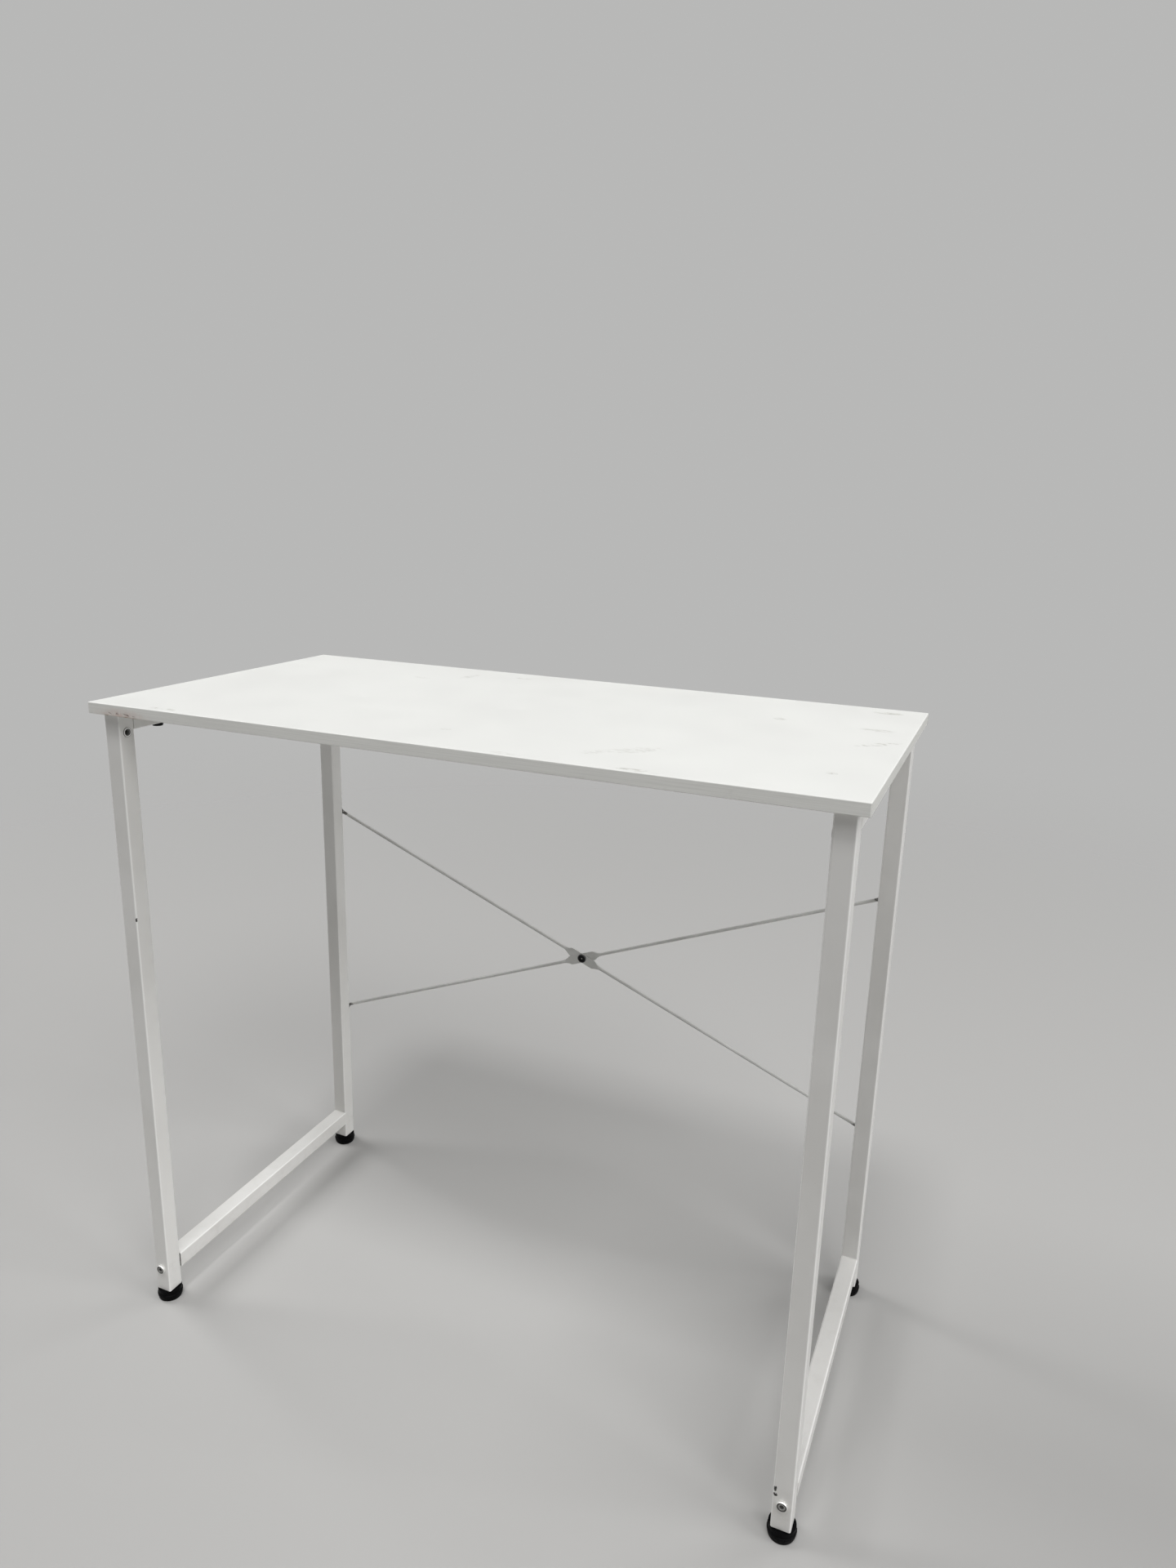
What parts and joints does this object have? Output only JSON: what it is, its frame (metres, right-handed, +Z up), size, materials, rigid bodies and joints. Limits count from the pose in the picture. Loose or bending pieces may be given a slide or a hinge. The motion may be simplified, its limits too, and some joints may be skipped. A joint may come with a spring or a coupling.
{
  "type": "computer desk",
  "caption": "Small four-legged writing desk with a flat rectangular board on square-tube side frames, crossed rear tie rods and screw-out levelling feet.",
  "frame": {"origin": "on the floor, under the middle of the board", "axes": "+X to the right along the long front edge, +Y from the front towards the back brace, +Z up"},
  "size_m": [0.8, 0.4, 0.74],
  "materials": {
    "melamine": "white melamine-faced particle board, satin",
    "edge_band": "white plastic edge strip, satin, fine lengthwise grain",
    "frame_paint": "white powder coat on steel tube, satin with slight orange peel",
    "brace_paint": "white coat on steel rod, satin, a little dull, rubbed dark at the pressed ends",
    "zinc": "zinc plate, slightly dulled",
    "black_screw": "black-coated steel",
    "black_plastic": "black moulded plastic, low sheen"
  },
  "bodies": {
    "desk": {"tabletop_panel": "melamine", "edge_band_front": "edge_band", "edge_band_rear": "edge_band", "edge_band_left": "edge_band", "edge_band_right": "edge_band", "leg_front_left": "frame_paint", "leg_front_right": "frame_paint", "leg_rear_left": "frame_paint", "leg_rear_right": "frame_paint", "upper_rail_left": "frame_paint", "upper_rail_right": "frame_paint", "lower_rail_left": "frame_paint", "lower_rail_right": "frame_paint", "brace_rod_front": "brace_paint", "brace_rod_rear": "brace_paint", "upper_frame_bolts": "zinc", "lower_frame_bolts": "zinc", "accessory_insert_left": "zinc", "accessory_insert_right": "zinc", "brace_centre_nut": "zinc", "brace_end_inserts": "zinc", "foot_plug_nuts": "zinc", "brace_centre_bolt": "black_screw", "brace_end_screws": "black_screw", "tabletop_screws_left": "black_screw", "tabletop_screws_right": "black_screw", "upper_nut_plate_left": "black_screw", "upper_nut_plate_right": "black_screw", "lower_nut_plate_left": "black_screw", "lower_nut_plate_right": "black_screw", "foot_plug_front_left": "black_plastic", "foot_plug_front_right": "black_plastic", "foot_plug_rear_left": "black_plastic", "foot_plug_rear_right": "black_plastic"},
    "stud_front_left": {"foot_stud_front_left": "zinc"},
    "pad_front_left": {"foot_pad_front_left": "black_plastic"},
    "stud_front_right": {"foot_stud_front_right": "zinc"},
    "pad_front_right": {"foot_pad_front_right": "black_plastic"},
    "stud_rear_left": {"foot_stud_rear_left": "zinc"},
    "pad_rear_left": {"foot_pad_rear_left": "black_plastic"},
    "stud_rear_right": {"foot_stud_rear_right": "zinc"},
    "pad_rear_right": {"foot_pad_rear_right": "black_plastic"}
  },
  "joints": [
    {"name": "foot_front_left_height", "type": "slide", "parent": "desk", "child": "stud_front_left", "axis": [0, 0, -1], "range_m": [0, 0.01]},
    {"name": "foot_front_left_turn", "type": "hinge", "parent": "stud_front_left", "child": "pad_front_left", "pos_m": [-0.38, -0.18, 0.005], "axis": [0, 0, -1], "range_deg": [0, 2880]},
    {"name": "foot_front_right_height", "type": "slide", "parent": "desk", "child": "stud_front_right", "axis": [0, 0, -1], "range_m": [0, 0.01]},
    {"name": "foot_front_right_turn", "type": "hinge", "parent": "stud_front_right", "child": "pad_front_right", "pos_m": [0.38, -0.18, 0.005], "axis": [0, 0, -1], "range_deg": [0, 2880]},
    {"name": "foot_rear_left_height", "type": "slide", "parent": "desk", "child": "stud_rear_left", "axis": [0, 0, -1], "range_m": [0, 0.01]},
    {"name": "foot_rear_left_turn", "type": "hinge", "parent": "stud_rear_left", "child": "pad_rear_left", "pos_m": [-0.38, 0.18, 0.005], "axis": [0, 0, -1], "range_deg": [0, 2880]},
    {"name": "foot_rear_right_height", "type": "slide", "parent": "desk", "child": "stud_rear_right", "axis": [0, 0, -1], "range_m": [0, 0.01]},
    {"name": "foot_rear_right_turn", "type": "hinge", "parent": "stud_rear_right", "child": "pad_rear_right", "pos_m": [0.38, 0.18, 0.005], "axis": [0, 0, -1], "range_deg": [0, 2880]}
  ],
  "couplings": [
    {"joint": "foot_front_left_turn", "follows": "foot_front_left_height", "rad_per_m": 5026.5},
    {"joint": "foot_front_right_turn", "follows": "foot_front_right_height", "rad_per_m": 5026.5},
    {"joint": "foot_rear_left_turn", "follows": "foot_rear_left_height", "rad_per_m": 5026.5},
    {"joint": "foot_rear_right_turn", "follows": "foot_rear_right_height", "rad_per_m": 5026.5}
  ]
}
